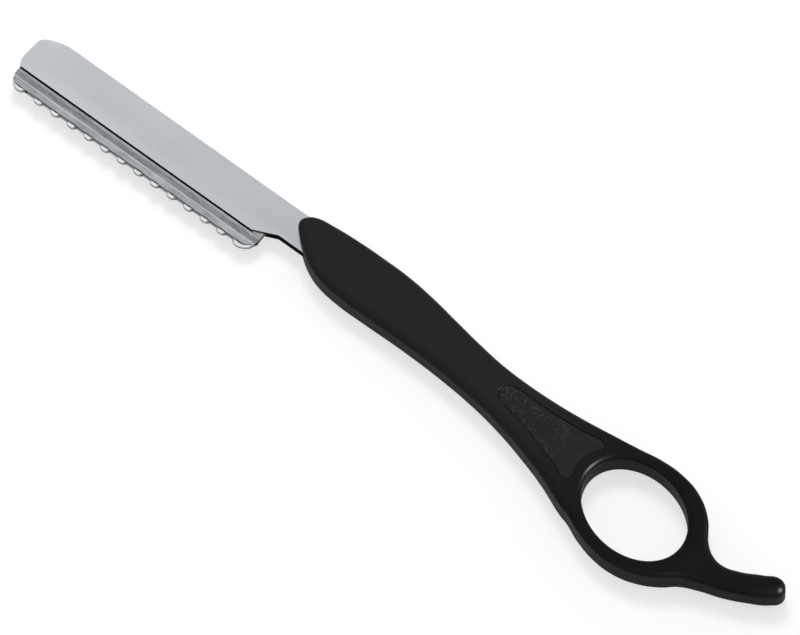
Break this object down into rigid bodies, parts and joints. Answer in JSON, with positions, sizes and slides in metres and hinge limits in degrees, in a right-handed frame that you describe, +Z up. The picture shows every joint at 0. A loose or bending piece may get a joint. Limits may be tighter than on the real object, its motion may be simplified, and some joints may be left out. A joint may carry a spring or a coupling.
{
  "type": "hair thinning razor",
  "caption": "Straight thinning razor: folded steel blade holder with a toothed comb guard over a slim blade, in a curved black handle with an oval finger ring and a tail.",
  "frame": {"origin": "on the surface the razor lies on, under the middle of its box", "axes": "+X from the blade holder's tip to the tail, +Y from the teeth to the spine, +Z up out of the front face"},
  "size_m": [0.2278, 0.0296, 0.0088],
  "materials": {
    "bright_steel": "bright, finely polished sheet",
    "brushed_steel": "dull brushed sheet",
    "blade_steel": "fine ground",
    "raw_steel": "plain",
    "screw_steel": "zinc plated",
    "black_plastic": "satin black, moulded",
    "grip_rubber": "rough, finely textured"
  },
  "bodies": {
    "handle": {"blade_holder": "bright_steel", "tang_stiffener": "raw_steel", "tang_pin_front": "raw_steel", "tang_pin_rear": "raw_steel", "handle_front_shell": "black_plastic", "handle_rear_shell": "black_plastic", "grip_inlay_front": "grip_rubber", "grip_inlay_rear": "grip_rubber", "shell_screw_front": "screw_steel", "shell_screw_rear": "screw_steel"},
    "guard": {"comb_guard": "brushed_steel"},
    "blade": {"thinning_blade": "blade_steel"}
  },
  "joints": [
    {"name": "guard_slide", "type": "slide", "parent": "handle", "child": "guard", "axis": [-1, 0, 0], "range_m": [0, 0.075]},
    {"name": "blade_slide", "type": "slide", "parent": "guard", "child": "blade", "axis": [-1, 0, 0], "range_m": [0, 0.069]}
  ]
}
